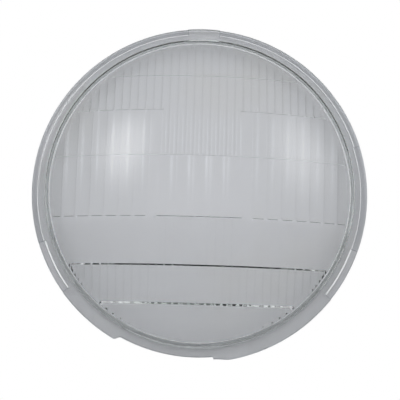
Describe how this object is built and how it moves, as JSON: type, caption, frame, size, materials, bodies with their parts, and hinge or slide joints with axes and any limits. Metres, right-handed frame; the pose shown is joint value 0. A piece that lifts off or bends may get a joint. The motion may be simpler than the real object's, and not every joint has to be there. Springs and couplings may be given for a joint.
{
  "type": "headlamp lens",
  "caption": "Round domed pressed-glass headlamp lens with a stepped flat rim, a locating notch and fluted prism bands on its inner face.",
  "frame": {"origin": "centre of the rim's outside diameter, on the plane of the rim's rear face", "axes": "+Z along the optical axis, out of the convex face; +Y to the top of the lens as fitted; +X to the right seen from the front"},
  "size_m": [0.178, 0.1775, 0.036],
  "materials": {
    "pressed_glass": "clear pressed glass, fire-polished outside, with moulded flutes inside"
  },
  "bodies": {
    "root": {"headlamp_lens": "pressed_glass"}
  },
  "joints": []
}
